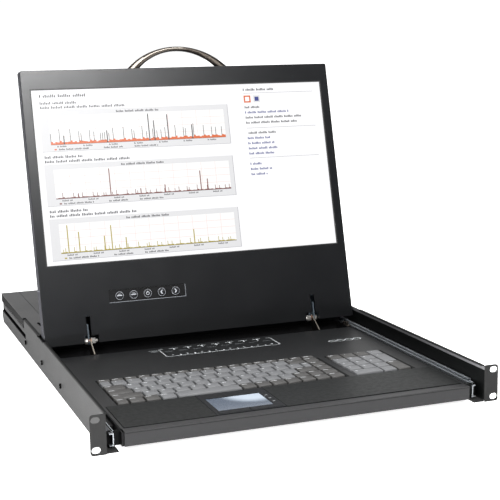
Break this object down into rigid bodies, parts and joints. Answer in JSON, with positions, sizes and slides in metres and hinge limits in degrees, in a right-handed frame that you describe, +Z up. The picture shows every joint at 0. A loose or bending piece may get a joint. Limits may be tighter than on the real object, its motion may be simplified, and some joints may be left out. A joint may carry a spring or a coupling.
{
  "type": "rackmount lcd console drawer",
  "caption": "One-unit rack console drawer: rails with ears, ball slides, a tray with keyboard, keypad and touchpad, and a hinged screen lid with a bow handle, shown open.",
  "frame": {"origin": "centre of the four rack slots, on the front face of the ears", "axes": "+X to the right, +Y into the rack, +Z up"},
  "size_m": [0.477, 0.664, 0.409],
  "materials": {
    "rail_paint": "satin",
    "cover_paint": "satin",
    "zinc_steel": "satin",
    "cage_steel": "polished",
    "screw_steel": "satin",
    "tray_paint": "satin",
    "deck_paint": "matte",
    "bezel_paint": "satin",
    "palm_panel": "matte",
    "touch_frame": "matte",
    "touch_surface": "satin",
    "key_light": "matte",
    "key_dark": "matte",
    "board_green": "satin",
    "lid_paint": "satin",
    "screen": "gloss",
    "menu_panel": "gloss",
    "menu_cap": "satin",
    "handle_nickel": "satin",
    "port_shell": "satin",
    "supply_case": "satin",
    "inlet_black": "matte"
  },
  "bodies": {
    "chassis": {"side_rail_left": "rail_paint", "side_rail_right": "rail_paint", "slide_outer_left": "zinc_steel", "slide_outer_right": "zinc_steel", "slide_screws": "screw_steel", "switch_housing": "cover_paint", "switch_cover": "cover_paint", "housing_screws": "screw_steel", "switch_board": "board_green", "port_connectors": "port_shell", "power_supply": "supply_case", "power_inlet": "inlet_black"},
    "drawer": {"slide_inner_left": "zinc_steel", "slide_inner_right": "zinc_steel", "slide_spacer_left": "zinc_steel", "slide_spacer_right": "zinc_steel", "tray_pan": "tray_paint", "front_bezel": "bezel_paint", "deck_plate": "deck_paint", "palm_rests": "palm_panel", "touchpad_frame": "touch_frame", "touchpad_surface": "touch_surface", "keyboard_base": "tray_paint", "keyboard_controller": "board_green", "hinge_arm_left": "zinc_steel", "hinge_arm_right": "zinc_steel", "hinge_bolt_left": "screw_steel", "hinge_bolt_right": "screw_steel"},
    "lid": {"lid_front_panel": "lid_paint", "lid_back_cover": "lid_paint", "lid_screws": "screw_steel", "lcd_panel": "screen", "display_board": "board_green", "menu_bezel": "menu_panel", "menu_board": "board_green", "pull_handle": "handle_nickel", "handle_screws": "screw_steel", "lid_leaf_left": "zinc_steel", "lid_leaf_right": "zinc_steel"},
    "slide_middle_left": {"slide_middle_left": "zinc_steel"},
    "ball_cage_outer_left": {"ball_cage_outer_left": "cage_steel"},
    "ball_cage_inner_left": {"ball_cage_inner_left": "cage_steel"},
    "slide_middle_right": {"slide_middle_right": "zinc_steel"},
    "ball_cage_outer_right": {"ball_cage_outer_right": "cage_steel"},
    "ball_cage_inner_right": {"ball_cage_inner_right": "cage_steel"},
    "key_row_function": {"key_row_function": "key_dark"},
    "key_row_number": {"key_row_number": "key_light"},
    "key_row_upper": {"key_row_upper": "key_light"},
    "key_row_home": {"key_row_home": "key_light"},
    "key_row_lower": {"key_row_lower": "key_light"},
    "key_row_bottom": {"key_row_bottom": "key_dark"},
    "space_bar": {"space_bar": "key_light"},
    "keypad_keys": {"keypad_keys": "key_light"},
    "touchpad_button_left": {"touchpad_button_left": "touch_frame"},
    "touchpad_button_right": {"touchpad_button_right": "touch_frame"},
    "menu_button_1": {"menu_button_1": "menu_cap"},
    "menu_button_2": {"menu_button_2": "menu_cap"},
    "menu_button_3": {"menu_button_3": "menu_cap"},
    "menu_button_4": {"menu_button_4": "menu_cap"},
    "menu_button_5": {"menu_button_5": "menu_cap"}
  },
  "joints": [
    {"name": "drawer_slide", "type": "slide", "parent": "chassis", "child": "drawer", "axis": [0, -1, 0], "range_m": [0, 0.4]},
    {"name": "lid_hinge", "type": "hinge", "parent": "drawer", "child": "lid", "pos_m": [0, 0.3488, 0.0105], "axis": [1, 0, 0], "range_deg": [-10, 104]},
    {"name": "slide_middle_left_travel", "type": "slide", "parent": "chassis", "child": "slide_middle_left", "axis": [0, -1, 0], "range_m": [0, 0.2]},
    {"name": "ball_cage_outer_left_travel", "type": "slide", "parent": "chassis", "child": "ball_cage_outer_left", "axis": [0, -1, 0], "range_m": [0, 0.1]},
    {"name": "ball_cage_inner_left_travel", "type": "slide", "parent": "chassis", "child": "ball_cage_inner_left", "axis": [0, -1, 0], "range_m": [0, 0.3]},
    {"name": "slide_middle_right_travel", "type": "slide", "parent": "chassis", "child": "slide_middle_right", "axis": [0, -1, 0], "range_m": [0, 0.2]},
    {"name": "ball_cage_outer_right_travel", "type": "slide", "parent": "chassis", "child": "ball_cage_outer_right", "axis": [0, -1, 0], "range_m": [0, 0.1]},
    {"name": "ball_cage_inner_right_travel", "type": "slide", "parent": "chassis", "child": "ball_cage_inner_right", "axis": [0, -1, 0], "range_m": [0, 0.3]},
    {"name": "key_row_function_press", "type": "slide", "parent": "drawer", "child": "key_row_function", "axis": [0, 0, -1], "range_m": [0, 0.0016], "stiffness_N_per_m": 800, "springref_m": -0.0012},
    {"name": "key_row_number_press", "type": "slide", "parent": "drawer", "child": "key_row_number", "axis": [0, 0, -1], "range_m": [0, 0.0016], "stiffness_N_per_m": 800, "springref_m": -0.0012},
    {"name": "key_row_upper_press", "type": "slide", "parent": "drawer", "child": "key_row_upper", "axis": [0, 0, -1], "range_m": [0, 0.0016], "stiffness_N_per_m": 800, "springref_m": -0.0012},
    {"name": "key_row_home_press", "type": "slide", "parent": "drawer", "child": "key_row_home", "axis": [0, 0, -1], "range_m": [0, 0.0016], "stiffness_N_per_m": 800, "springref_m": -0.0012},
    {"name": "key_row_lower_press", "type": "slide", "parent": "drawer", "child": "key_row_lower", "axis": [0, 0, -1], "range_m": [0, 0.0016], "stiffness_N_per_m": 800, "springref_m": -0.0012},
    {"name": "key_row_bottom_press", "type": "slide", "parent": "drawer", "child": "key_row_bottom", "axis": [0, 0, -1], "range_m": [0, 0.0016], "stiffness_N_per_m": 800, "springref_m": -0.0012},
    {"name": "space_bar_press", "type": "slide", "parent": "drawer", "child": "space_bar", "axis": [0, 0, -1], "range_m": [0, 0.0016], "stiffness_N_per_m": 800, "springref_m": -0.0012},
    {"name": "keypad_keys_press", "type": "slide", "parent": "drawer", "child": "keypad_keys", "axis": [0, 0, -1], "range_m": [0, 0.0016], "stiffness_N_per_m": 800, "springref_m": -0.0012},
    {"name": "touchpad_button_left_press", "type": "slide", "parent": "drawer", "child": "touchpad_button_left", "axis": [0, 0, -1], "range_m": [0, 0.0006], "stiffness_N_per_m": 1200, "springref_m": -0.0005},
    {"name": "touchpad_button_right_press", "type": "slide", "parent": "drawer", "child": "touchpad_button_right", "axis": [0, 0, -1], "range_m": [0, 0.0006], "stiffness_N_per_m": 1200, "springref_m": -0.0005},
    {"name": "menu_button_1_press", "type": "slide", "parent": "lid", "child": "menu_button_1", "axis": [0, 0.9701, -0.2428], "range_m": [0, 0.0005], "stiffness_N_per_m": 1200, "springref_m": -0.0005},
    {"name": "menu_button_2_press", "type": "slide", "parent": "lid", "child": "menu_button_2", "axis": [0, 0.9701, -0.2428], "range_m": [0, 0.0005], "stiffness_N_per_m": 1200, "springref_m": -0.0005},
    {"name": "menu_button_3_press", "type": "slide", "parent": "lid", "child": "menu_button_3", "axis": [0, 0.9701, -0.2428], "range_m": [0, 0.0005], "stiffness_N_per_m": 1200, "springref_m": -0.0005},
    {"name": "menu_button_4_press", "type": "slide", "parent": "lid", "child": "menu_button_4", "axis": [0, 0.9701, -0.2428], "range_m": [0, 0.0005], "stiffness_N_per_m": 1200, "springref_m": -0.0005},
    {"name": "menu_button_5_press", "type": "slide", "parent": "lid", "child": "menu_button_5", "axis": [0, 0.9701, -0.2428], "range_m": [0, 0.0005], "stiffness_N_per_m": 1200, "springref_m": -0.0005}
  ],
  "couplings": [
    {"joint": "slide_middle_left_travel", "follows": "drawer_slide", "ratio": 0.5},
    {"joint": "ball_cage_outer_left_travel", "follows": "drawer_slide", "ratio": 0.25},
    {"joint": "ball_cage_inner_left_travel", "follows": "drawer_slide", "ratio": 0.75},
    {"joint": "slide_middle_right_travel", "follows": "drawer_slide", "ratio": 0.5},
    {"joint": "ball_cage_outer_right_travel", "follows": "drawer_slide", "ratio": 0.25},
    {"joint": "ball_cage_inner_right_travel", "follows": "drawer_slide", "ratio": 0.75}
  ]
}
